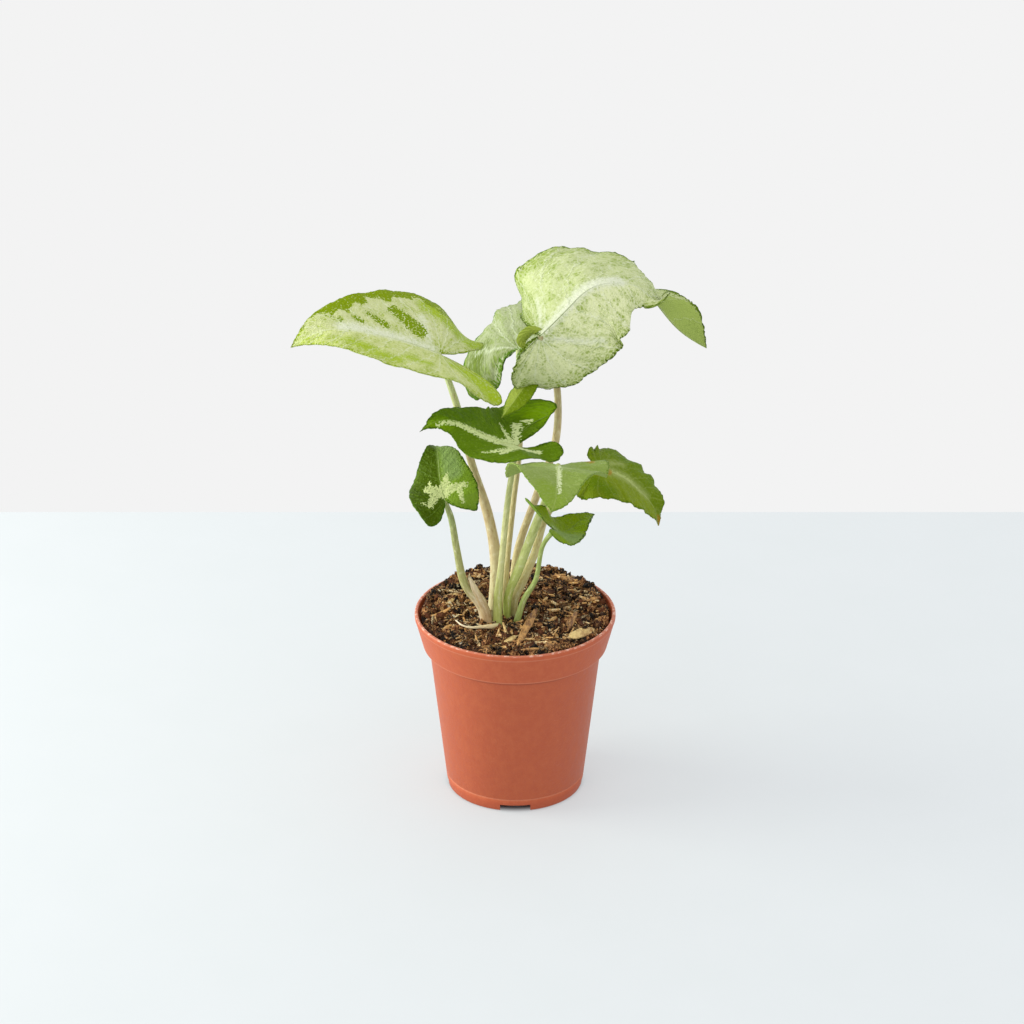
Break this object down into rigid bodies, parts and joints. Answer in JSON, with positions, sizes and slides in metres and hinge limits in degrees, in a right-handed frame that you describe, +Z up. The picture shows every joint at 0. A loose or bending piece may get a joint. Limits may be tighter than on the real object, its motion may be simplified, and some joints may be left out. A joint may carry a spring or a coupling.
{
  "type": "potted foliage plant",
  "caption": "Young arrowhead plant with pale and deep green arrow-shaped leaves on slender stalks, growing in soil in a small round terracotta-coloured nursery pot.",
  "frame": {"origin": "centre of the bounding box in plan, on the plane that the pot's feet stand on", "axes": "+Z up, -Y towards the side where the lowest-hanging front leaf points"},
  "size_m": [0.1216, 0.1246, 0.1599],
  "materials": {
    "pot": "matt, slightly mottled",
    "soil": "rough, crumbly",
    "stalk": "satin",
    "blade_left": "satin, blotched with green",
    "blade_back": "satin",
    "blade_top": "satin, finely veined",
    "blade_middle": "satin, cream veins",
    "blade_front": "satin",
    "blade_right": "satin",
    "blade_small": "satin",
    "blade_low": "satin, cream centre",
    "bark": "rough",
    "straw": "rough"
  },
  "bodies": {
    "root": {"pot": "pot", "soil": "soil", "crown": "stalk", "straw": "straw", "blade_left": "blade_left", "petiole_left": "stalk", "blade_back": "blade_back", "petiole_back": "stalk", "blade_top": "blade_top", "petiole_top": "stalk", "blade_middle": "blade_middle", "petiole_middle": "stalk", "blade_front": "blade_front", "petiole_front": "stalk", "blade_right": "blade_right", "petiole_right": "stalk", "blade_small": "blade_small", "petiole_small": "stalk", "blade_low": "blade_low", "petiole_low": "stalk", "bark_chip_long": "bark", "bark_chip_pale": "bark", "bark_chip_oval": "bark", "bark_chip_small": "bark", "bark_chip_slanted": "bark", "bark_chip_right": "bark", "bark_chip_back": "bark", "bark_chip_left": "bark", "twig": "bark"}
  },
  "joints": []
}
